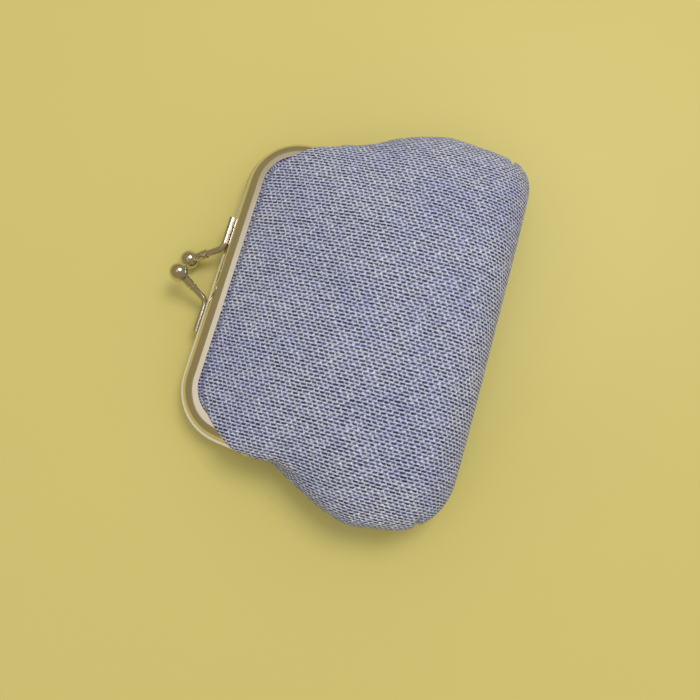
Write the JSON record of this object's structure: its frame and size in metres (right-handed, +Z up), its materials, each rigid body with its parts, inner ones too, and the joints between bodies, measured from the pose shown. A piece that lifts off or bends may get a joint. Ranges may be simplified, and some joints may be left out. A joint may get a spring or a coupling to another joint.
{
  "type": "clasp-frame coin purse",
  "caption": "Small padded cloth purse in a hinged two-part metal frame with rounded shoulders, shut by a pair of snapping balls.",
  "frame": {"origin": "on the table under the middle of the purse's length and width, with the purse lying on its back", "axes": "+X along the mouth toward its right end seen from the front, +Y out of the mouth past the clasp, +Z up through the front"},
  "size_m": [0.1116, 0.0906, 0.027],
  "materials": {
    "frame_metal": "polished nickel plating on steel",
    "clasp_metal": "polished silvery plating",
    "paper_cord": "twisted kraft paper",
    "outer_cloth": "metallic blue and silver twill",
    "padding": "soft fleece wadding",
    "lining_cloth": "plain woven lining"
  },
  "bodies": {
    "back": {"back_frame": "frame_metal", "left_rivet": "frame_metal", "right_rivet": "frame_metal", "back_clasp_post": "clasp_metal", "back_clasp_ball": "clasp_metal", "back_paper_cord": "paper_cord", "back_outer_panel": "outer_cloth", "back_padding": "padding", "back_lining": "lining_cloth", "front_outer_panel": "outer_cloth", "front_padding": "padding", "front_lining": "lining_cloth"},
    "front": {"front_frame": "frame_metal", "front_clasp_post": "clasp_metal", "front_clasp_ball": "clasp_metal", "front_paper_cord": "paper_cord"}
  },
  "joints": [
    {"name": "frame_hinge", "type": "hinge", "parent": "back", "child": "front", "pos_m": [0, 0.0102, 0.006], "axis": [1, 0, 0], "range_deg": [0, 80], "deforming": ["front_outer_panel", "front_padding", "front_lining"]}
  ]
}
